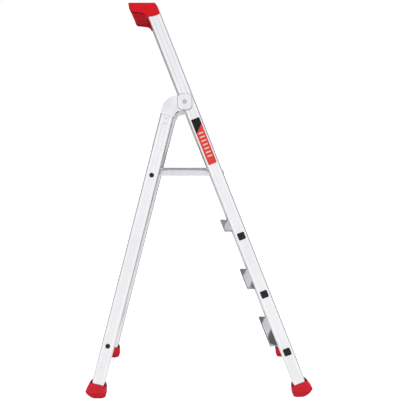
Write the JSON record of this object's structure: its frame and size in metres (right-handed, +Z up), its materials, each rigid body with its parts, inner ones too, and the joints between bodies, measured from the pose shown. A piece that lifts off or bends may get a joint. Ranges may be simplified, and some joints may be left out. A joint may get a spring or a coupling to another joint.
{
  "type": "step stool",
  "caption": "Folding aluminium platform step ladder with treads between two stiles, a standing platform, a high safety rail with a red tool tray, and red rounded feet.",
  "frame": {"origin": "middle of the base on the floor, under the object's box", "axes": "+X across the ladder, -Y towards the climbing side, +Z up"},
  "size_m": [0.4808, 0.8787, 1.51],
  "materials": {
    "alloy": "satin anodised",
    "cast_alloy": "satin cast",
    "steel": "zinc plated",
    "red_plastic": "moulded satin",
    "red_rubber": "moulded matte",
    "black_plastic": "moulded",
    "grey_plastic": "moulded",
    "grip_rubber": "ribbed",
    "label": "printed film"
  },
  "bodies": {
    "front_frame": {"front_stile_left": "alloy", "front_stile_right": "alloy", "tread_lower": "alloy", "tread_middle": "alloy", "tread_upper": "alloy", "tread_tube_lower": "alloy", "tread_tube_middle": "alloy", "tread_tube_upper": "alloy", "tread_end_caps_left": "grey_plastic", "tread_end_caps_right": "grey_plastic", "tread_plugs_left": "black_plastic", "tread_plugs_right": "black_plastic", "platform_support_bar": "alloy", "support_bar_sockets": "black_plastic", "front_foot_left": "red_rubber", "front_foot_right": "red_rubber", "tool_tray": "red_plastic", "tray_end_left": "red_plastic", "tray_end_right": "red_plastic", "tray_screws_left": "steel", "tray_screws_right": "steel", "hinge_pin_left": "steel", "hinge_pin_right": "steel", "label_left": "label", "label_right": "label"},
    "rear_frame": {"hinge_plate_left": "cast_alloy", "hinge_plate_right": "cast_alloy", "hinge_washer_left": "steel", "hinge_washer_right": "steel", "rear_stile_left": "alloy", "rear_stile_right": "alloy", "hinge_arm_left": "cast_alloy", "hinge_arm_right": "cast_alloy", "hinge_arm_rivets_left": "steel", "hinge_arm_rivets_right": "steel", "platform_pivot_bar": "alloy", "rear_brace_bar": "alloy", "pivot_spacers": "black_plastic", "rear_plugs_left": "black_plastic", "rear_plugs_right": "black_plastic", "rear_foot_left": "red_rubber", "rear_foot_right": "red_rubber"},
    "platform": {"platform_deck": "alloy", "platform_arm_left": "alloy", "platform_arm_right": "alloy", "platform_grips": "grip_rubber", "platform_rivets_left": "steel", "platform_rivets_right": "steel"}
  },
  "joints": [
    {"name": "rear_frame_fold", "type": "hinge", "parent": "front_frame", "child": "rear_frame", "pos_m": [0, 0.0544, 1.138], "axis": [-1, 0, 0], "range_deg": [0, 35]},
    {"name": "platform_fold", "type": "hinge", "parent": "rear_frame", "child": "platform", "pos_m": [0, 0.18172, 0.8575], "axis": [-1, 0, 0], "range_deg": [0, 74]}
  ],
  "couplings": [
    {"joint": "platform_fold", "follows": "rear_frame_fold", "ratio": 2.1}
  ]
}
